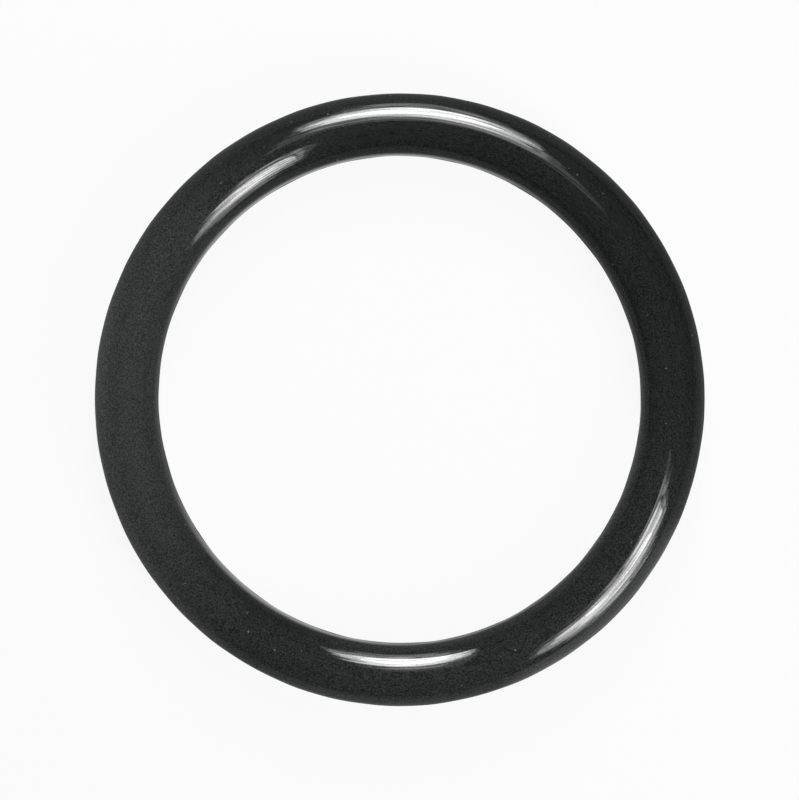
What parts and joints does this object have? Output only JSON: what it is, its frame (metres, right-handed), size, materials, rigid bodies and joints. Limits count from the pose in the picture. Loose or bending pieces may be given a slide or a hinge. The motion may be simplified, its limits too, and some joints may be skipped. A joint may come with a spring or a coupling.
{
  "type": "rubber o-ring",
  "caption": "Closed rubber sealing ring of round section with a fine mould line inside and outside, squeezed in a groove between mating parts to keep liquid or gas in.",
  "frame": {"origin": "centre of the ring, on its axis and on its middle plane", "axes": "+Z along the ring's axis, square to the plane that it lies in; +X and +Y in that plane, towards the right and the top of the picture"},
  "size_m": [0.0256, 0.0256, 0.0026],
  "materials": {
    "rubber": "smooth moulded black nitrile rubber with a clear shine"
  },
  "bodies": {
    "root": {"o_ring": "rubber"}
  },
  "joints": []
}
